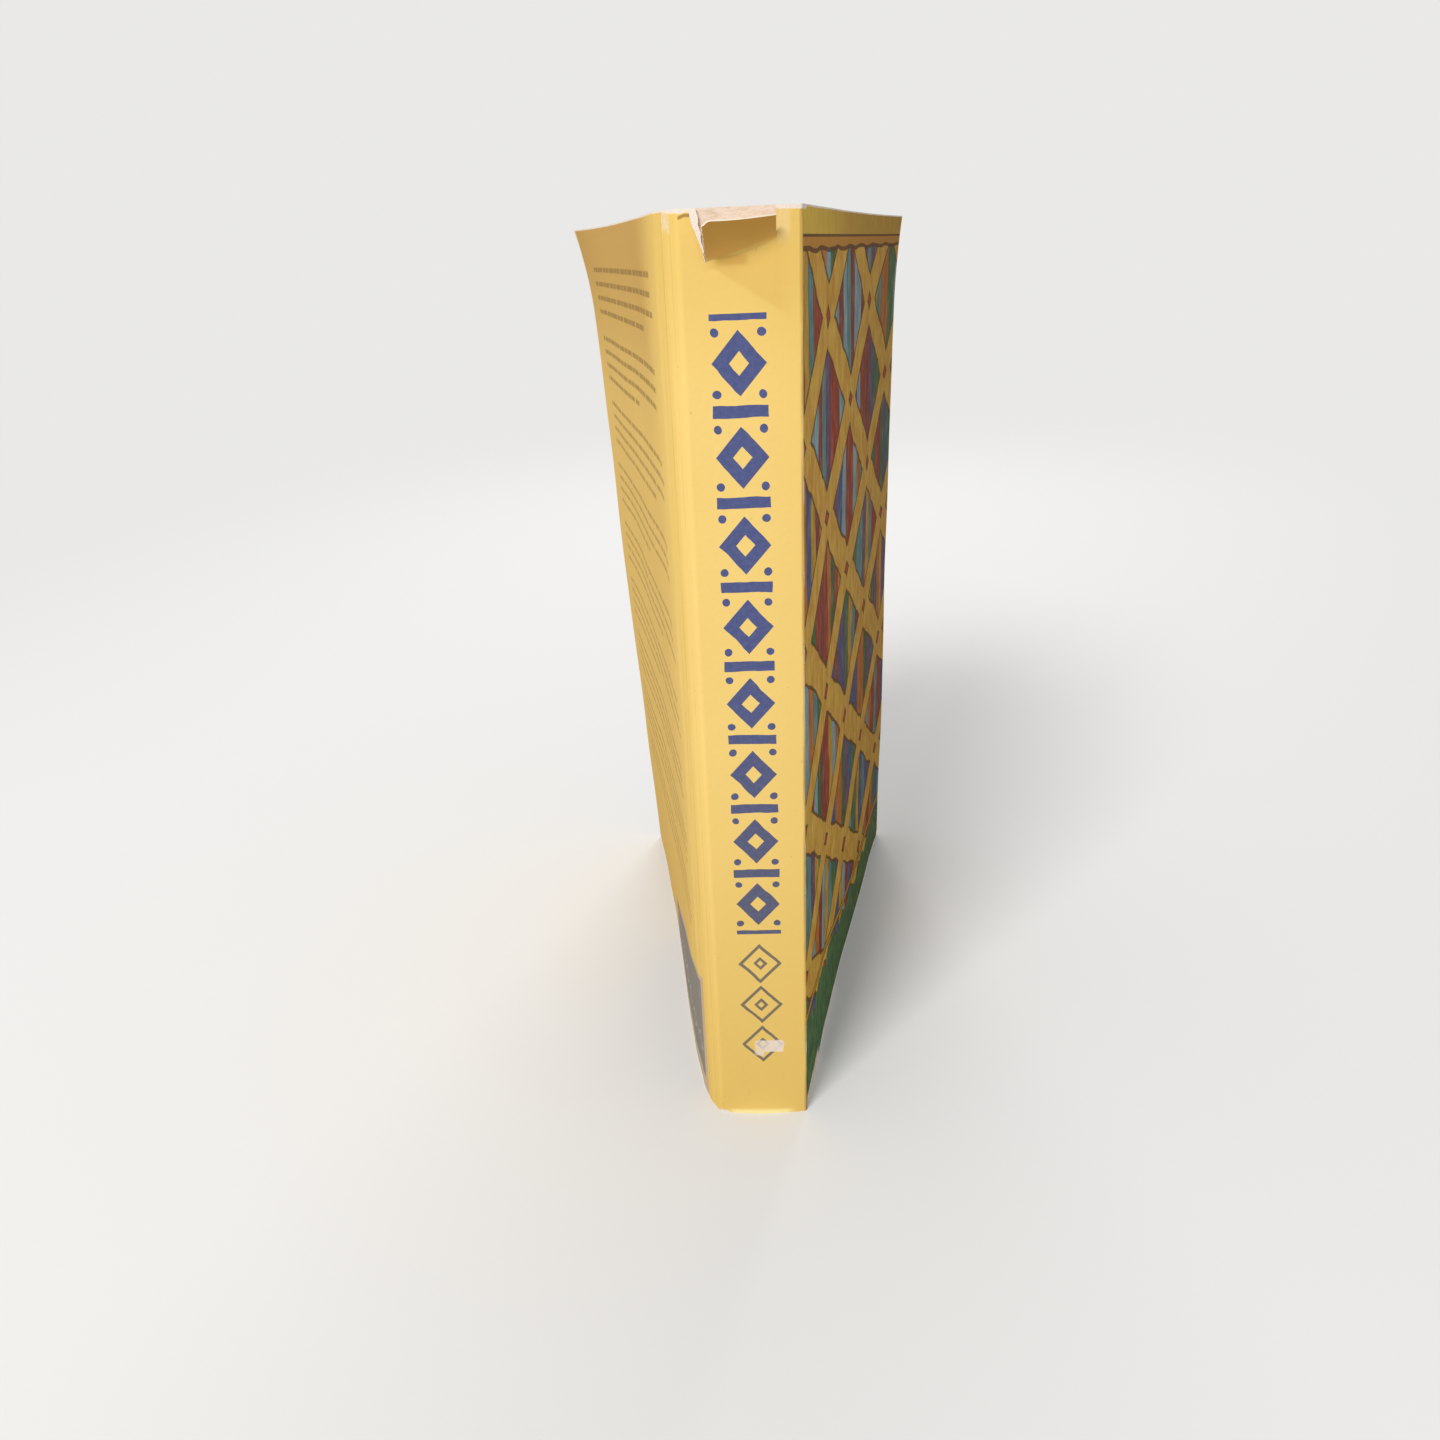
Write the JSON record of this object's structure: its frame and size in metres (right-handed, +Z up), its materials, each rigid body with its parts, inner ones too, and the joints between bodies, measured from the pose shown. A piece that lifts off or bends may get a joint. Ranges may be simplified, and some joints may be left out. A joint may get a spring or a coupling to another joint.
{
  "type": "paperback book",
  "caption": "Thick perfect-bound book standing on its foot with both soft covers a little open, a yellow card cover worn at the edges and a torn lip at the head of the spine.",
  "frame": {"origin": "on the foot, midway across the spine's flat panel and midway between spine and fore-edge", "axes": "+Z up from foot to head, -Y out of the spine towards the viewer, +X towards the front cover"},
  "size_m": [0.1052, 0.1587, 0.229],
  "materials": {
    "leaves": "uncoated book paper, guillotine-cut edges",
    "adhesive": "hot-melt film, satin",
    "cover_card": "printed and film-laminated card, worn white at folds and edges"
  },
  "bodies": {
    "book_block": {"text_block": "leaves", "spine_adhesive": "adhesive", "spine_wrap": "cover_card"},
    "front_cover": {"front_cover": "cover_card"},
    "back_cover": {"back_cover": "cover_card"}
  },
  "joints": [
    {"name": "front_cover_hinge", "type": "hinge", "parent": "book_block", "child": "front_cover", "pos_m": [0.01435, -0.0662, 0.1145], "axis": [0, 0, -1], "range_deg": [-13.4, 165]},
    {"name": "back_cover_hinge", "type": "hinge", "parent": "book_block", "child": "back_cover", "pos_m": [-0.01735, -0.0662, 0.1145], "axis": [0, 0, 1], "range_deg": [-8.6, 165]}
  ]
}
